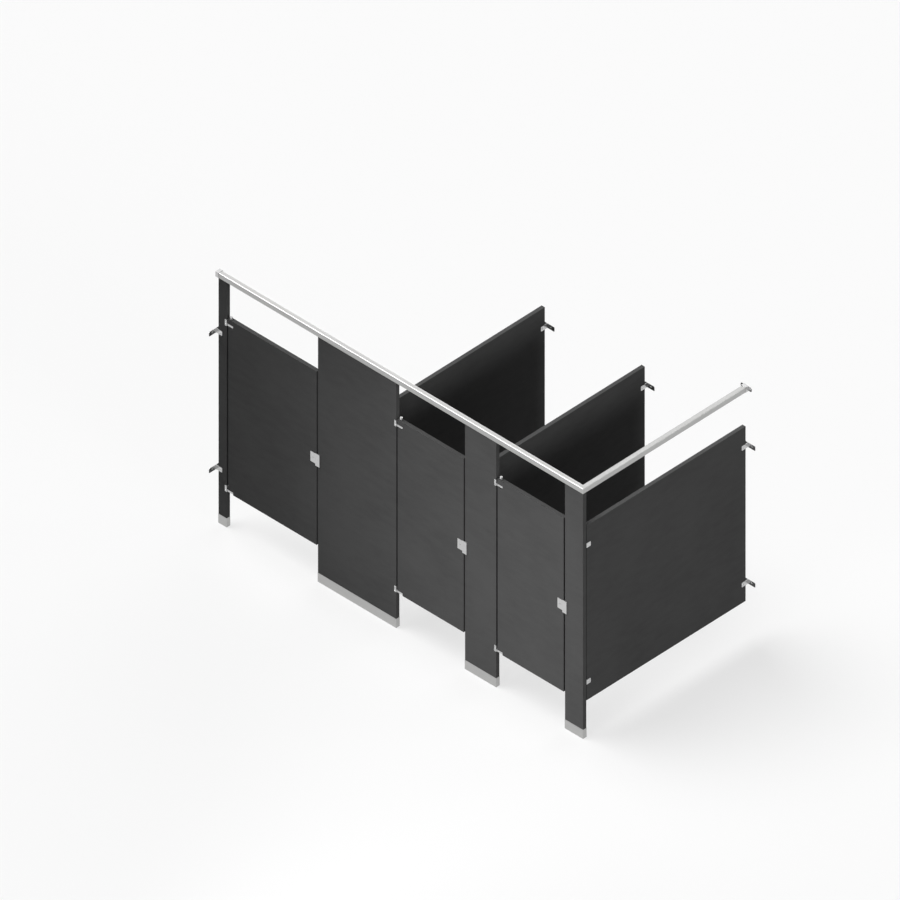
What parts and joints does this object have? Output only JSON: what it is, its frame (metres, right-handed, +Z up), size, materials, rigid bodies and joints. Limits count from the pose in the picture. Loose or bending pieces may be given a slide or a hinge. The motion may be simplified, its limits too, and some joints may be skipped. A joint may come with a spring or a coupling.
{
  "type": "bathroom stall partition",
  "caption": "Floor-standing, headrail-braced row of bathroom stalls for a wall corner, with hinged doors, divider panels, pilasters in metal shoes, wall brackets and sliding latches.",
  "frame": {"origin": "on the floor, under the middle of the bounding box of the whole row", "axes": "+X along the row from the side wall to the free corner, +Y from the doors to the rear wall, +Z up"},
  "size_m": [3.498, 1.6528, 2.1105],
  "materials": {
    "panel_paint": "satin",
    "honeycomb": "matte",
    "stainless": "satin",
    "aluminium": "satin",
    "hardware": "satin",
    "zinc": "satin",
    "bumper": "matte",
    "nylon": "satin"
  },
  "bodies": {
    "frame": {"pilaster_1": "panel_paint", "pilaster_2": "panel_paint", "pilaster_3": "panel_paint", "pilaster_4": "panel_paint", "pilaster_cores": "honeycomb", "panel_1": "panel_paint", "panel_2": "panel_paint", "panel_3": "panel_paint", "panel_cores": "honeycomb", "shoe_1": "stainless", "shoe_2": "stainless", "shoe_3": "stainless", "shoe_4": "stainless", "levelling_bars": "zinc", "floor_studs": "zinc", "levelling_nuts": "zinc", "headrail_front": "aluminium", "headrail_side": "aluminium", "headrail_corner_block": "aluminium", "headrail_wall_cups": "hardware", "panel_wall_brackets": "hardware", "pilaster_wall_brackets": "hardware", "pilaster_panel_brackets": "hardware", "bracket_bolts": "hardware", "bracket_screws": "hardware", "pan_screws": "hardware", "top_hinge_brackets": "hardware", "bottom_hinge_brackets": "hardware", "latch_keepers": "hardware", "keeper_bumpers": "bumper"},
    "door_1": {"door_1": "panel_paint", "door_1_core": "honeycomb", "door_1_hinge_pin": "hardware", "door_1_hinge_cam": "nylon", "door_1_latch_plate": "hardware", "door_1_latch_case": "hardware", "door_1_coat_hook": "hardware", "door_1_screws": "hardware"},
    "latch_1": {"door_1_latch_bolt": "hardware", "door_1_latch_knob": "hardware"},
    "door_2": {"door_2": "panel_paint", "door_2_core": "honeycomb", "door_2_hinge_pin": "hardware", "door_2_hinge_cam": "nylon", "door_2_latch_plate": "hardware", "door_2_latch_case": "hardware", "door_2_coat_hook": "hardware", "door_2_screws": "hardware"},
    "latch_2": {"door_2_latch_bolt": "hardware", "door_2_latch_knob": "hardware"},
    "door_3": {"door_3": "panel_paint", "door_3_core": "honeycomb", "door_3_hinge_pin": "hardware", "door_3_hinge_cam": "nylon", "door_3_latch_plate": "hardware", "door_3_latch_case": "hardware", "door_3_coat_hook": "hardware", "door_3_screws": "hardware"},
    "latch_3": {"door_3_latch_bolt": "hardware", "door_3_latch_knob": "hardware"}
  },
  "joints": [
    {"name": "door_1_swing", "type": "hinge", "parent": "frame", "child": "door_1", "pos_m": [-1.617, -0.7415, 0.3], "axis": [0, 0, 1], "range_deg": [0, 90], "stiffness_Nm_per_rad": 3, "springref_deg": -17.19},
    {"name": "latch_bolt_1_slide", "type": "slide", "parent": "door_1", "child": "latch_1", "axis": [1, 0, 0], "range_m": [0, 0.028]},
    {"name": "door_2_swing", "type": "hinge", "parent": "frame", "child": "door_2", "pos_m": [-0.034, -0.7415, 0.3], "axis": [0, 0, 1], "range_deg": [0, 90], "stiffness_Nm_per_rad": 3, "springref_deg": -17.19},
    {"name": "latch_bolt_2_slide", "type": "slide", "parent": "door_2", "child": "latch_2", "axis": [1, 0, 0], "range_m": [0, 0.028]},
    {"name": "door_3_swing", "type": "hinge", "parent": "frame", "child": "door_3", "pos_m": [0.9, -0.7415, 0.3], "axis": [0, 0, 1], "range_deg": [0, 90], "stiffness_Nm_per_rad": 3, "springref_deg": -17.19},
    {"name": "latch_bolt_3_slide", "type": "slide", "parent": "door_3", "child": "latch_3", "axis": [1, 0, 0], "range_m": [0, 0.028]}
  ]
}
